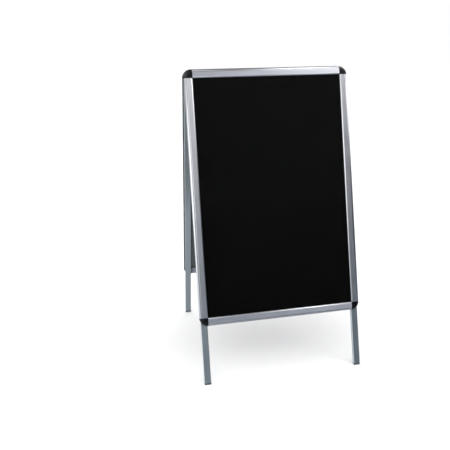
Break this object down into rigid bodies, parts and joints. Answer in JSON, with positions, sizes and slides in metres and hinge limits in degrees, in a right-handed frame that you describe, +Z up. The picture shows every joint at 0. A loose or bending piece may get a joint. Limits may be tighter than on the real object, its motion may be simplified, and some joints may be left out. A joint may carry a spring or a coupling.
{
  "type": "sandwich board",
  "caption": "Folding double-sided pavement sign with snap-open aluminium poster frames, rounded corner caps and tube legs.",
  "frame": {"origin": "centre of the footprint, on the ground, with the sign open", "axes": "+Z up; the front half leans towards -Y; +X is to the right of a person who faces the front"},
  "size_m": [0.64, 0.6004, 1.1526],
  "materials": {
    "lid_aluminium": "satin silver anodised",
    "base_aluminium": "satin silver anodised",
    "leg_aluminium": "satin silver anodised",
    "corner_cap": "glossy near-black moulding",
    "stop_plastic": "fine-grained moulding",
    "foot_plastic": "fine-grained moulding",
    "corner_key": "as moulded",
    "back_panel": "dark grey, fine-grained matt sheet",
    "black_poster": "matt black print",
    "clear_cover": "clear anti-glare film",
    "spring_steel": "rolled strip",
    "zinc_steel": "zinc plated",
    "rivet": "plain"
  },
  "bodies": {
    "front_half": {"front_back_panel": "back_panel", "front_base_bottom": "base_aluminium", "front_base_left": "base_aluminium", "front_base_right": "base_aluminium", "front_base_top": "base_aluminium", "front_corner_cap_bottom_left": "corner_cap", "front_corner_cap_bottom_right": "corner_cap", "front_corner_cap_top_left": "corner_cap", "front_corner_cap_top_right": "corner_cap", "front_corner_keys": "corner_key", "front_cover_sheet": "clear_cover", "front_foot_left": "foot_plastic", "front_foot_right": "foot_plastic", "front_hinge_leaf_left": "zinc_steel", "front_hinge_leaf_right": "zinc_steel", "front_hinge_rivets": "rivet", "front_leaf_springs": "spring_steel", "front_leg_left": "leg_aluminium", "front_leg_right": "leg_aluminium", "front_leg_rivets": "rivet", "front_poster": "black_poster", "front_top_stops": "stop_plastic", "hinge_pin_left": "zinc_steel", "hinge_pin_right": "zinc_steel"},
    "rear_half": {"rear_back_panel": "back_panel", "rear_base_bottom": "base_aluminium", "rear_base_left": "base_aluminium", "rear_base_right": "base_aluminium", "rear_base_top": "base_aluminium", "rear_corner_cap_bottom_left": "corner_cap", "rear_corner_cap_bottom_right": "corner_cap", "rear_corner_cap_top_left": "corner_cap", "rear_corner_cap_top_right": "corner_cap", "rear_corner_keys": "corner_key", "rear_cover_sheet": "clear_cover", "rear_foot_left": "foot_plastic", "rear_foot_right": "foot_plastic", "rear_hinge_leaf_left": "zinc_steel", "rear_hinge_leaf_right": "zinc_steel", "rear_hinge_rivets": "rivet", "rear_leaf_springs": "spring_steel", "rear_leg_left": "leg_aluminium", "rear_leg_right": "leg_aluminium", "rear_leg_rivets": "rivet", "rear_poster": "black_poster", "rear_top_stops": "stop_plastic"},
    "front_top_lid": {"front_lid_top": "lid_aluminium"},
    "front_bottom_lid": {"front_lid_bottom": "lid_aluminium"},
    "front_left_lid": {"front_lid_left": "lid_aluminium"},
    "front_right_lid": {"front_lid_right": "lid_aluminium"},
    "rear_top_lid": {"rear_lid_top": "lid_aluminium"},
    "rear_bottom_lid": {"rear_lid_bottom": "lid_aluminium"},
    "rear_left_lid": {"rear_lid_left": "lid_aluminium"},
    "rear_right_lid": {"rear_lid_right": "lid_aluminium"}
  },
  "joints": [
    {"name": "fold", "type": "hinge", "parent": "front_half", "child": "rear_half", "pos_m": [0, 0, 1.14192], "axis": [-1, 0, 0], "range_deg": [0, 28]},
    {"name": "front_top_lid_snap", "type": "hinge", "parent": "front_half", "child": "front_top_lid", "pos_m": [0, -0.02748, 1.14414], "axis": [-1, 0, 0], "range_deg": [0, 100], "stiffness_Nm_per_rad": 0.4, "springref_deg": -20.05},
    {"name": "front_bottom_lid_snap", "type": "hinge", "parent": "front_half", "child": "front_bottom_lid", "pos_m": [0, -0.25465, 0.23303], "axis": [1, 0, 0], "range_deg": [0, 100], "stiffness_Nm_per_rad": 0.4, "springref_deg": -20.05},
    {"name": "front_left_lid_snap", "type": "hinge", "parent": "front_half", "child": "front_left_lid", "pos_m": [-0.3095, -0.14106, 0.68858], "axis": [0, -0.2419, -0.9703], "range_deg": [0, 100], "stiffness_Nm_per_rad": 0.4, "springref_deg": -20.05},
    {"name": "front_right_lid_snap", "type": "hinge", "parent": "front_half", "child": "front_right_lid", "pos_m": [0.3095, -0.14106, 0.68858], "axis": [0, 0.2419, 0.9703], "range_deg": [0, 100], "stiffness_Nm_per_rad": 0.4, "springref_deg": -20.05},
    {"name": "rear_top_lid_snap", "type": "hinge", "parent": "rear_half", "child": "rear_top_lid", "pos_m": [0, 0.02748, 1.14414], "axis": [1, 0, 0], "range_deg": [0, 100], "stiffness_Nm_per_rad": 0.4, "springref_deg": -20.05},
    {"name": "rear_bottom_lid_snap", "type": "hinge", "parent": "rear_half", "child": "rear_bottom_lid", "pos_m": [0, 0.25465, 0.23303], "axis": [-1, 0, 0], "range_deg": [0, 100], "stiffness_Nm_per_rad": 0.4, "springref_deg": -20.05},
    {"name": "rear_left_lid_snap", "type": "hinge", "parent": "rear_half", "child": "rear_left_lid", "pos_m": [0.3095, 0.14106, 0.68858], "axis": [0, 0.2419, -0.9703], "range_deg": [0, 100], "stiffness_Nm_per_rad": 0.4, "springref_deg": -20.05},
    {"name": "rear_right_lid_snap", "type": "hinge", "parent": "rear_half", "child": "rear_right_lid", "pos_m": [-0.3095, 0.14106, 0.68858], "axis": [0, -0.2419, 0.9703], "range_deg": [0, 100], "stiffness_Nm_per_rad": 0.4, "springref_deg": -20.05}
  ]
}
